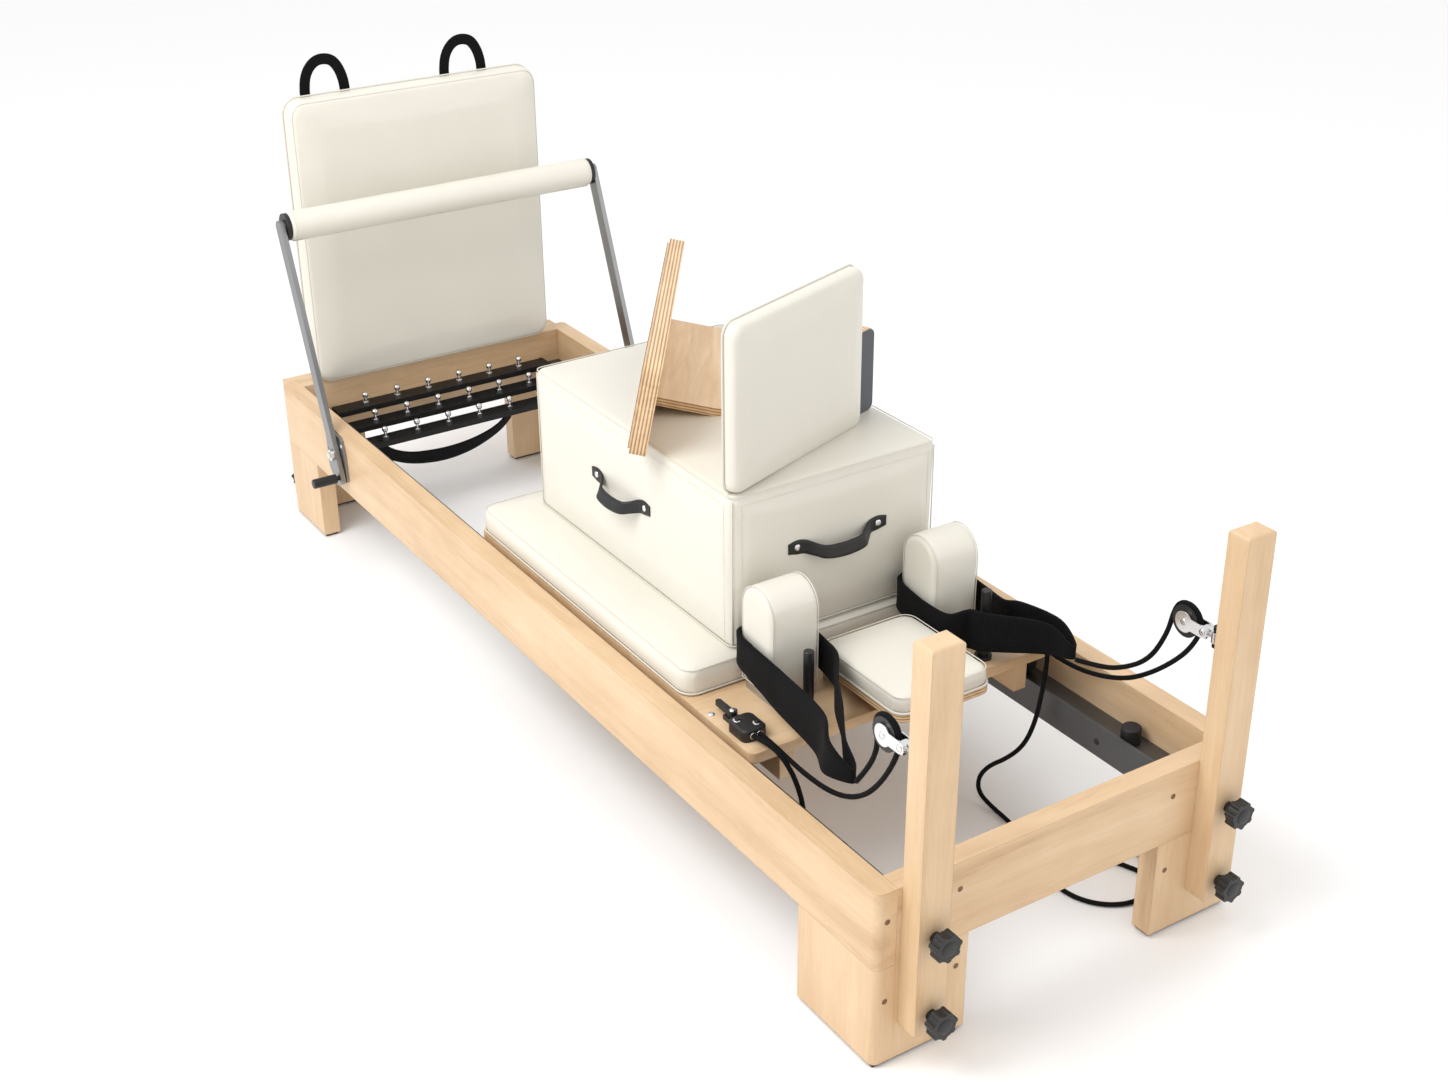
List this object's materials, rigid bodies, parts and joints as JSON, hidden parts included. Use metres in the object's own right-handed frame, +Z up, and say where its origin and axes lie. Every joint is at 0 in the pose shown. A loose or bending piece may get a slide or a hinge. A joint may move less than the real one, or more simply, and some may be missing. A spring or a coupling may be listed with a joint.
{
  "type": "pilates reformer",
  "caption": "Wooden bed frame with a rolling padded carriage, spring hooks, folding footbar, jump board, rope pulleys on risers, headrest, shoulder rests and a sitting box.",
  "frame": {"origin": "on the floor, under the middle of the frame", "axes": "+X along the bed toward the head end with the two risers, +Y across it, +Z up; -Y is called the left side"},
  "size_m": [2.3152, 0.848, 1.0091],
  "materials": {
    "wood_maple": "clear satin lacquer",
    "plywood": "lacquered plywood with bare ply edges",
    "black_rubber": "matt",
    "steel_brushed": "brushed",
    "dark_aluminium": "dark anodised",
    "black_steel": "black powder coat",
    "chrome": "polished",
    "grey_metal": "light grey",
    "black_webbing": "woven webbing",
    "black_rope": "braided rope",
    "cream_vinyl": "cream vinyl",
    "black_leather": "black leather",
    "black_plastic": "moulded"
  },
  "bodies": {
    "frame": {"side_rails": "wood_maple", "end_rails": "wood_maple", "legs": "wood_maple", "rubber_feet": "black_rubber", "frame_screws": "steel_brushed", "riser_posts": "wood_maple", "tracks": "dark_aluminium", "track_stoppers": "black_rubber", "spring_bars": "black_steel", "spring_pins": "chrome", "foot_strap": "black_webbing", "footbar_plates": "steel_brushed", "footbar_pivot_bolts": "steel_brushed", "pulley_brackets": "black_steel"},
    "footbar": {"footbar_arms": "steel_brushed", "footbar_tube": "steel_brushed", "footbar_pad": "cream_vinyl", "footbar_end_caps": "black_plastic"},
    "locking_pin_left": {"locking_pin_left": "black_plastic"},
    "locking_pin_right": {"locking_pin_right": "black_plastic"},
    "jump_board": {"jump_board_panel": "plywood", "jump_board_pad": "cream_vinyl", "jump_board_posts": "wood_maple", "jump_board_loops": "black_webbing"},
    "carriage": {"carriage_deck": "plywood", "carriage_pad": "cream_vinyl", "carriage_runners": "wood_maple", "wheel_axles": "steel_brushed", "springs": "steel_brushed", "shoulder_rest_bases": "grey_metal", "headrest_hinge": "steel_brushed", "strap_pegs": "black_plastic", "rope_cleats": "black_plastic", "shoulder_straps": "black_webbing", "rope_left": "black_rope", "rope_right": "black_rope"},
    "wheels_foot": {"wheels_foot": "black_plastic"},
    "wheels_head": {"wheels_head": "black_plastic"},
    "shoulder_rest_left": {"shoulder_rest_left": "cream_vinyl"},
    "shoulder_rest_right": {"shoulder_rest_right": "cream_vinyl"},
    "headrest": {"headrest_board": "plywood", "headrest_pad": "cream_vinyl"},
    "cleat_lever_left": {"cleat_lever_left": "black_plastic"},
    "cleat_lever_right": {"cleat_lever_right": "black_plastic"},
    "pulley_left": {"pulley_block_left": "chrome"},
    "pulley_right": {"pulley_block_right": "chrome"},
    "sheave_left": {"sheave_left": "black_plastic"},
    "sheave_right": {"sheave_right": "black_plastic"},
    "sitting_box": {"sitting_box": "cream_vinyl", "box_handles": "black_leather"},
    "standing_platform": {"standing_board": "plywood", "standing_cleat": "plywood"},
    "padded_platform": {"padded_platform_pad": "cream_vinyl", "padded_platform_base": "plywood"},
    "riser_knob_left_upper": {"riser_knob_left_upper": "black_plastic"},
    "riser_knob_left_lower": {"riser_knob_left_lower": "black_plastic"},
    "riser_knob_right_upper": {"riser_knob_right_upper": "black_plastic"},
    "riser_knob_right_lower": {"riser_knob_right_lower": "black_plastic"},
    "board_knob_left": {"board_knob_left": "black_plastic"},
    "board_knob_right": {"board_knob_right": "black_plastic"}
  },
  "joints": [
    {"name": "riser_knob_left_upper_turn", "type": "hinge", "parent": "frame", "child": "riser_knob_left_upper", "pos_m": [1.1256, -0.28, 0.234], "axis": [1, 0, 0], "continuous": true},
    {"name": "riser_knob_left_lower_turn", "type": "hinge", "parent": "frame", "child": "riser_knob_left_lower", "pos_m": [1.1256, -0.28, 0.098], "axis": [1, 0, 0], "continuous": true},
    {"name": "riser_knob_right_upper_turn", "type": "hinge", "parent": "frame", "child": "riser_knob_right_upper", "pos_m": [1.1256, 0.28, 0.234], "axis": [1, 0, 0], "continuous": true},
    {"name": "riser_knob_right_lower_turn", "type": "hinge", "parent": "frame", "child": "riser_knob_right_lower", "pos_m": [1.1256, 0.28, 0.098], "axis": [1, 0, 0], "continuous": true},
    {"name": "board_knob_left_turn", "type": "hinge", "parent": "frame", "child": "board_knob_left", "pos_m": [-1.1256, -0.307, 0.045], "axis": [1, 0, 0], "continuous": true},
    {"name": "board_knob_right_turn", "type": "hinge", "parent": "frame", "child": "board_knob_right", "pos_m": [-1.1256, 0.307, 0.045], "axis": [1, 0, 0], "continuous": true},
    {"name": "footbar_fold", "type": "hinge", "parent": "frame", "child": "footbar", "pos_m": [-0.767, 0, 0.262], "axis": [0, 1, 0], "range_deg": [0, 102]},
    {"name": "locking_pin_left_pull", "type": "slide", "parent": "footbar", "child": "locking_pin_left", "axis": [0, -1, 0], "range_m": [0, 0.008], "stiffness_N_per_m": 1200},
    {"name": "locking_pin_right_pull", "type": "slide", "parent": "footbar", "child": "locking_pin_right", "axis": [0, 1, 0], "range_m": [0, 0.008], "stiffness_N_per_m": 1200},
    {"name": "jump_board_lift", "type": "slide", "parent": "frame", "child": "jump_board", "axis": [0, 0, 1], "range_m": [0, 0.15]},
    {"name": "carriage_slide", "type": "slide", "parent": "frame", "child": "carriage", "axis": [1, 0, 0], "range_m": [-0.5, 0.22], "deforming": ["rope_left", "rope_right", "shoulder_straps"]},
    {"name": "wheels_foot_roll", "type": "hinge", "parent": "carriage", "child": "wheels_foot", "pos_m": [-0.145, 0, 0.2553], "axis": [0, 1, 0], "range_deg": [-1200, 600]},
    {"name": "wheels_head_roll", "type": "hinge", "parent": "carriage", "child": "wheels_head", "pos_m": [0.645, 0, 0.2553], "axis": [0, 1, 0], "range_deg": [-1200, 600]},
    {"name": "shoulder_rest_left_lift", "type": "slide", "parent": "carriage", "child": "shoulder_rest_left", "axis": [0, 0, 1], "range_m": [0, 0.2]},
    {"name": "shoulder_rest_right_lift", "type": "slide", "parent": "carriage", "child": "shoulder_rest_right", "axis": [0, 0, 1], "range_m": [0, 0.2]},
    {"name": "headrest_tilt", "type": "hinge", "parent": "carriage", "child": "headrest", "pos_m": [0.589, 0, 0.325], "axis": [0, -1, 0], "range_deg": [0, 55]},
    {"name": "cleat_lever_left_turn", "type": "hinge", "parent": "carriage", "child": "cleat_lever_left", "pos_m": [0.606, -0.272, 0.31], "axis": [0, 0, 1], "range_deg": [-30, 30]},
    {"name": "pulley_left_swivel", "type": "hinge", "parent": "frame", "child": "pulley_left", "pos_m": [1.065, -0.28, 0.5], "axis": [0, 0, 1], "range_deg": [-35, 35]},
    {"name": "sheave_left_spin", "type": "hinge", "parent": "pulley_left", "child": "sheave_left", "pos_m": [1.005, -0.28, 0.5], "axis": [0, 1, 0], "continuous": true},
    {"name": "cleat_lever_right_turn", "type": "hinge", "parent": "carriage", "child": "cleat_lever_right", "pos_m": [0.606, 0.272, 0.31], "axis": [0, 0, 1], "range_deg": [-30, 30]},
    {"name": "pulley_right_swivel", "type": "hinge", "parent": "frame", "child": "pulley_right", "pos_m": [1.065, 0.28, 0.5], "axis": [0, 0, 1], "range_deg": [-35, 35]},
    {"name": "sheave_right_spin", "type": "hinge", "parent": "pulley_right", "child": "sheave_right", "pos_m": [1.005, 0.28, 0.5], "axis": [0, 1, 0], "continuous": true},
    {"name": "sitting_box_lift", "type": "slide", "parent": "carriage", "child": "sitting_box", "axis": [0, 0, 1], "range_m": [0, 0.3]},
    {"name": "standing_platform_lift", "type": "slide", "parent": "sitting_box", "child": "standing_platform", "axis": [0, 0, 1], "range_m": [0, 0.3]},
    {"name": "padded_platform_lift", "type": "slide", "parent": "sitting_box", "child": "padded_platform", "axis": [0, 0, 1], "range_m": [0, 0.3]}
  ],
  "couplings": [
    {"joint": "wheels_foot_roll", "follows": "carriage_slide", "rad_per_m": 40},
    {"joint": "wheels_head_roll", "follows": "carriage_slide", "rad_per_m": 40}
  ]
}
